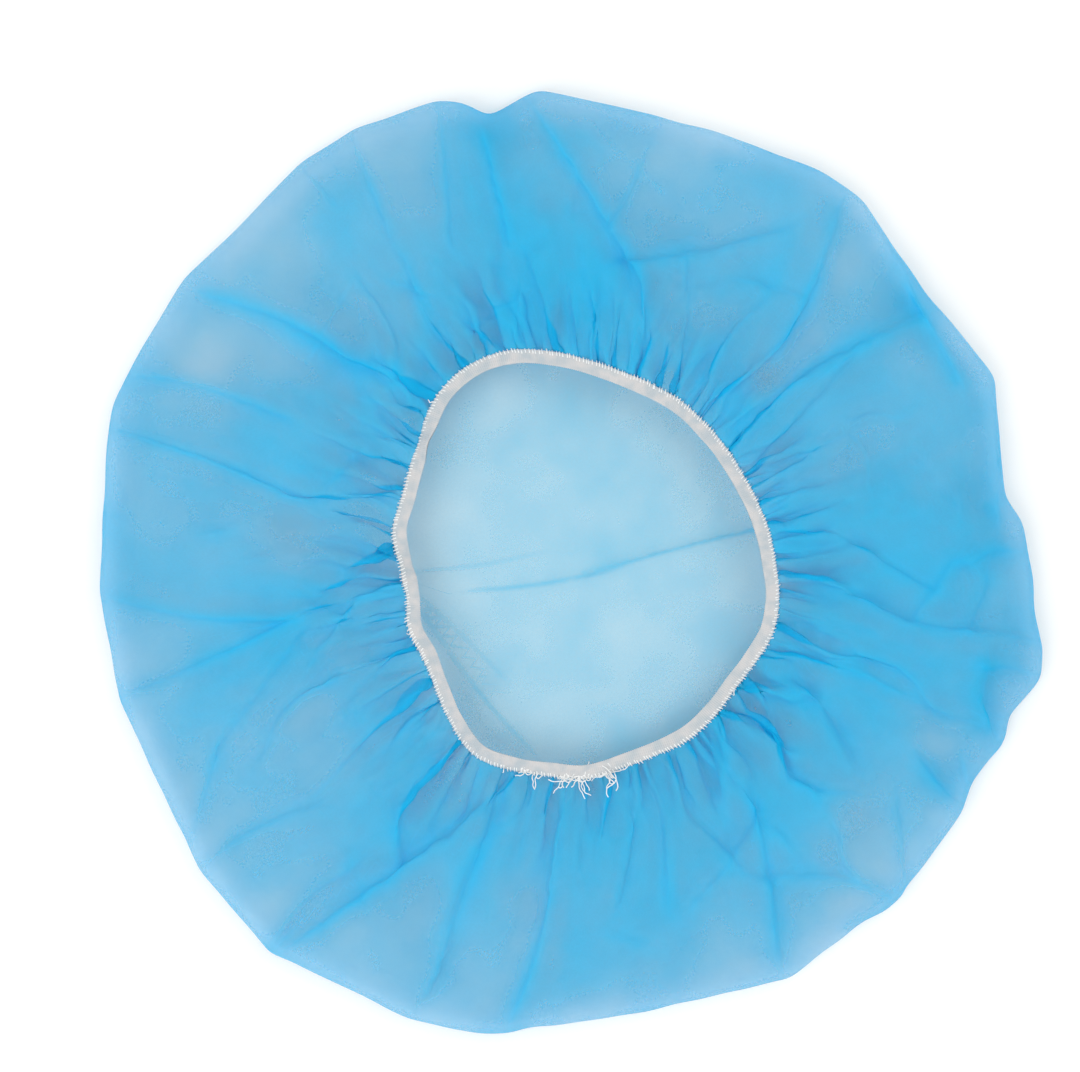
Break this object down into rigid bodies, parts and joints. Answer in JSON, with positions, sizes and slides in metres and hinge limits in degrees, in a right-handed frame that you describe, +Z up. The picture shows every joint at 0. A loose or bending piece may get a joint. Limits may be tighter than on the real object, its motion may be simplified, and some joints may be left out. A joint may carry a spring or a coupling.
{
  "type": "bouffant cap",
  "caption": "Round disposable bouffant cap of thin gathered cloth with an elastic mouth, lying on its crown with the mouth up.",
  "frame": {"origin": "middle of the cap's outline, on the surface that the crown lies on", "axes": "+Z up through the open mouth, +X to the right and +Y to the far side of the cap seen from above"},
  "size_m": [0.3288, 0.3282, 0.032],
  "materials": {
    "nonwoven": "matte translucent spunbond nonwoven cloth",
    "elastic": "matte knitted flat elastic"
  },
  "bodies": {
    "root": {"cap_body": "nonwoven", "elastic_band": "elastic"}
  },
  "joints": []
}
